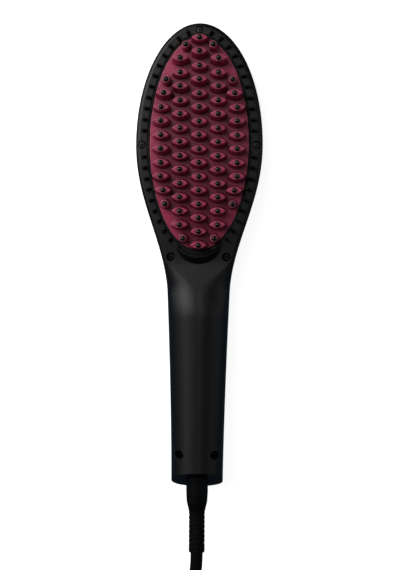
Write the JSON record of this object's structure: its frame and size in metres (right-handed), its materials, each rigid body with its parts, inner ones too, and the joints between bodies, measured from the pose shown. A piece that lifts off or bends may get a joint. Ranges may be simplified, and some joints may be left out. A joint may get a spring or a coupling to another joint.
{
  "type": "electric hair straightening brush",
  "caption": "Handheld electric hair straightening brush: oval heated plate with lens-shaped fins in a black housing, toothed rim, round handle with back buttons, and a corded plug.",
  "frame": {"origin": "under the middle of the housing's length and width, on the surface that its back lies on", "axes": "+Y from the handle's end to the head's tip, +Z out of the heated plate, +X to the right seen from the teeth"},
  "size_m": [0.0943, 0.5446, 0.0369],
  "materials": {
    "housing_gloss": "polished black plastic",
    "coated_plate": "maroon ceramic coating on cast aluminium, satin",
    "tip_plastic": "heat-safe black nylon, satin",
    "frame_plastic": "glass-filled black plastic, satin",
    "screw_steel": "black oxide",
    "cord_rubber": "matt black cable sheath",
    "tie_plastic": "soft black strap",
    "pin_brass": "nickel-plated brass",
    "heater_ceramic": "ceramic, matt",
    "mica": "mica, silky",
    "clamp_aluminium": "mill finish",
    "sensor_glass": "coated sensor head",
    "fuse_metal": "plated case",
    "shield_steel": "rolled sheet",
    "board_laminate": "solder-resist green",
    "device_plastic": "moulded black",
    "capacitor_plastic": "moulded",
    "window_clear": "smoked clear plastic",
    "button_plastic": "satin black",
    "lead_sleeve": "silicone sleeve"
  },
  "bodies": {
    "housing": {"front_shell": "housing_gloss", "back_shell": "housing_gloss", "heater_plate": "coated_plate", "fin_tips": "tip_plastic", "rim_teeth": "tip_plastic", "plate_frame": "frame_plastic", "head_screws": "screw_steel", "neck_screws": "screw_steel", "handle_screws": "screw_steel", "strain_relief": "cord_rubber", "inner_cord": "cord_rubber", "cord": "cord_rubber", "cord_coil": "cord_rubber", "cord_tail": "cord_rubber", "coil_tie": "tie_plastic", "plug_body": "cord_rubber", "plug_pins": "pin_brass", "ceramic_heaters": "heater_ceramic", "mica_sheet": "mica", "heater_clamp": "clamp_aluminium", "clamp_screws": "screw_steel", "thermistor": "sensor_glass", "thermal_fuse": "fuse_metal", "heat_shield": "shield_steel", "control_board": "board_laminate", "board_screws": "screw_steel", "power_stage": "device_plastic", "mains_capacitor": "capacitor_plastic", "tact_switches": "device_plastic", "display_module": "device_plastic", "display_window": "window_clear", "heater_leads": "lead_sleeve", "sensor_leads": "lead_sleeve", "mains_leads": "lead_sleeve", "cord_clamp": "frame_plastic", "cord_clamp_screws": "screw_steel"},
    "power_button": {"power_button": "button_plastic"},
    "plus_button": {"plus_button": "button_plastic"},
    "minus_button": {"minus_button": "button_plastic"}
  },
  "joints": [
    {"name": "power_button_press", "type": "slide", "parent": "housing", "child": "power_button", "axis": [0, 0.0713, 0.9975], "range_m": [0, 0.0008], "stiffness_N_per_m": 600},
    {"name": "plus_button_press", "type": "slide", "parent": "housing", "child": "plus_button", "axis": [0, 0.0713, 0.9975], "range_m": [0, 0.0008], "stiffness_N_per_m": 600},
    {"name": "minus_button_press", "type": "slide", "parent": "housing", "child": "minus_button", "axis": [0, 0.0713, 0.9975], "range_m": [0, 0.0008], "stiffness_N_per_m": 600}
  ]
}
